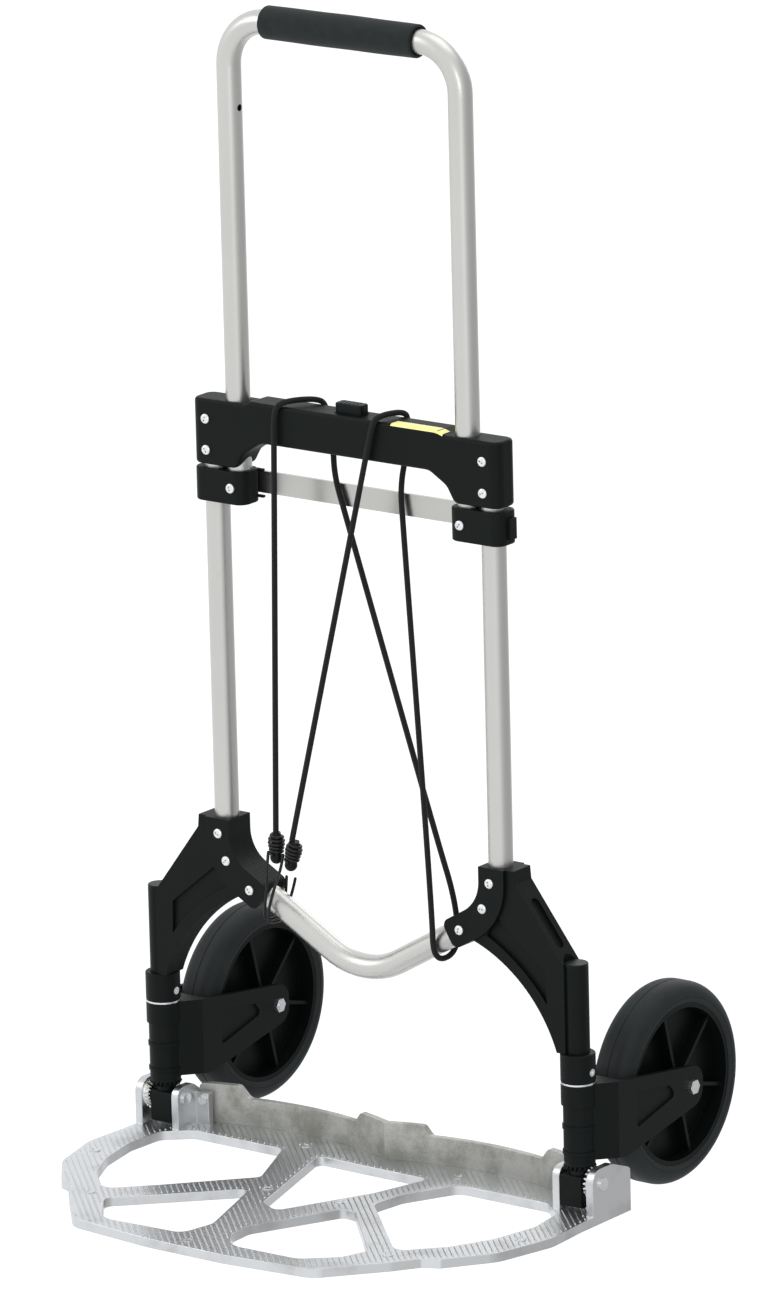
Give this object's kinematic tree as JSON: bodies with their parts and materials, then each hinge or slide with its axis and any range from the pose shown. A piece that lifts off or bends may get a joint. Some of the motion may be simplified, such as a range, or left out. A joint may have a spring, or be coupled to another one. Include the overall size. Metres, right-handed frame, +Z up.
{
  "type": "hand truck",
  "caption": "Folding two-wheel hand truck with a sliding handle, a hinged cast toe plate geared to swinging wheel forks, and an elastic cord.",
  "frame": {"origin": "on the floor under the toe plate, midway between the two swivel posts and in the plane of the frame tubes", "axes": "+Z up, +X to the right side seen from the front, -Y to the front where the toe plate lies"},
  "size_m": [0.504, 0.4705, 1.006],
  "materials": {
    "tube_aluminium": "satin anodised, drawn along the tube",
    "black_nylon": "fine moulded grain",
    "cap_plastic": "smooth satin",
    "gear_nylon": "smooth satin",
    "gear_zinc": "as cast",
    "zinc_steel": "bright zinc plate",
    "bar_aluminium": "mill finish",
    "cast_plate": "polished casting with fine ridges",
    "cast_rail": "dull as-cast",
    "grip_foam": "closed-cell foam",
    "wheel_plastic": "satin moulded",
    "tyre_rubber": "smooth matt rubber",
    "cord_sheath": "woven sheath",
    "hook_black": "black coating"
  },
  "bodies": {
    "frame": {"frame_tube": "tube_aluminium", "crossbar_front_shell": "black_nylon", "crossbar_rear_shell": "black_nylon", "crossbar_screws": "zinc_steel", "button_spring": "zinc_steel", "knee_arm_left": "black_nylon", "knee_cover_left": "black_nylon", "swivel_post_left": "zinc_steel", "collar_left": "black_nylon", "hinge_foot_left": "black_nylon", "knee_arm_right": "black_nylon", "knee_cover_right": "black_nylon", "swivel_post_right": "zinc_steel", "collar_right": "black_nylon", "hinge_foot_right": "black_nylon", "knee_screws": "zinc_steel", "post_caps": "cap_plastic", "collar_screws": "zinc_steel", "swivel_washers": "zinc_steel", "bungee_cord": "cord_sheath", "cord_ferrule_outer": "hook_black", "cord_ferrule_inner": "hook_black", "cord_hook_outer": "hook_black", "cord_hook_inner": "hook_black"},
    "release_button": {"release_button": "cap_plastic"},
    "lock_bar_left": {"lock_bar_left": "zinc_steel"},
    "lock_bar_right": {"lock_bar_right": "zinc_steel"},
    "handle": {"handle_tube": "tube_aluminium", "handle_grip": "grip_foam", "slide_block_left": "black_nylon", "slide_block_right": "black_nylon", "link_bar": "bar_aluminium", "block_screws": "zinc_steel", "bar_rivets": "zinc_steel"},
    "toe_plate": {"toe_plate": "cast_plate", "rear_rail": "cast_rail", "rail_rivets": "zinc_steel", "hinge_pin_left": "zinc_steel", "hinge_pin_right": "zinc_steel", "plate_gear_left": "gear_zinc", "plate_gear_right": "gear_zinc"},
    "fork_left": {"fork_left": "black_nylon", "fork_bush_left": "gear_nylon", "fork_gear_left": "gear_nylon", "axle_bolt_left": "zinc_steel", "axle_nut_left": "zinc_steel", "axle_spacers_left": "zinc_steel"},
    "wheel_left": {"wheel_left": "wheel_plastic", "tyre_left": "tyre_rubber", "wheel_bearing_left": "gear_nylon"},
    "fork_right": {"fork_right": "black_nylon", "fork_bush_right": "gear_nylon", "fork_gear_right": "gear_nylon", "axle_bolt_right": "zinc_steel", "axle_nut_right": "zinc_steel", "axle_spacers_right": "zinc_steel"},
    "wheel_right": {"wheel_right": "wheel_plastic", "tyre_right": "tyre_rubber", "wheel_bearing_right": "gear_nylon"}
  },
  "joints": [
    {"name": "handle_slide", "type": "slide", "parent": "frame", "child": "handle", "axis": [0, 0, 1], "range_m": [-0.275, 0]},
    {"name": "button_press", "type": "slide", "parent": "frame", "child": "release_button", "axis": [0, 0, -1], "range_m": [0, 0.005], "stiffness_N_per_m": 400, "deforming": ["button_spring"]},
    {"name": "lock_left_slide", "type": "slide", "parent": "frame", "child": "lock_bar_left", "axis": [1, 0, 0], "range_m": [0, 0.005]},
    {"name": "lock_right_slide", "type": "slide", "parent": "frame", "child": "lock_bar_right", "axis": [-1, 0, 0], "range_m": [0, 0.005]},
    {"name": "toe_plate_fold", "type": "hinge", "parent": "frame", "child": "toe_plate", "pos_m": [0, 0, 0.034], "axis": [1, 0, 0], "range_deg": [-90, 0]},
    {"name": "fork_left_swing", "type": "hinge", "parent": "frame", "child": "fork_left", "pos_m": [-0.22, 0, 0.085], "axis": [0, 0, 1], "range_deg": [-90, 0]},
    {"name": "fork_right_swing", "type": "hinge", "parent": "frame", "child": "fork_right", "pos_m": [0.22, 0, 0.085], "axis": [0, 0, 1], "range_deg": [0, 90]},
    {"name": "wheel_left_spin", "type": "hinge", "parent": "fork_left", "child": "wheel_left", "pos_m": [-0.22, 0.124, 0.0875], "axis": [1, 0, 0], "continuous": true},
    {"name": "wheel_right_spin", "type": "hinge", "parent": "fork_right", "child": "wheel_right", "pos_m": [0.22, 0.124, 0.0875], "axis": [1, 0, 0], "continuous": true}
  ],
  "couplings": [
    {"joint": "lock_left_slide", "follows": "button_press", "ratio": 1},
    {"joint": "lock_right_slide", "follows": "button_press", "ratio": 1},
    {"joint": "fork_left_swing", "follows": "toe_plate_fold", "ratio": 1},
    {"joint": "fork_right_swing", "follows": "toe_plate_fold", "ratio": -1}
  ]
}
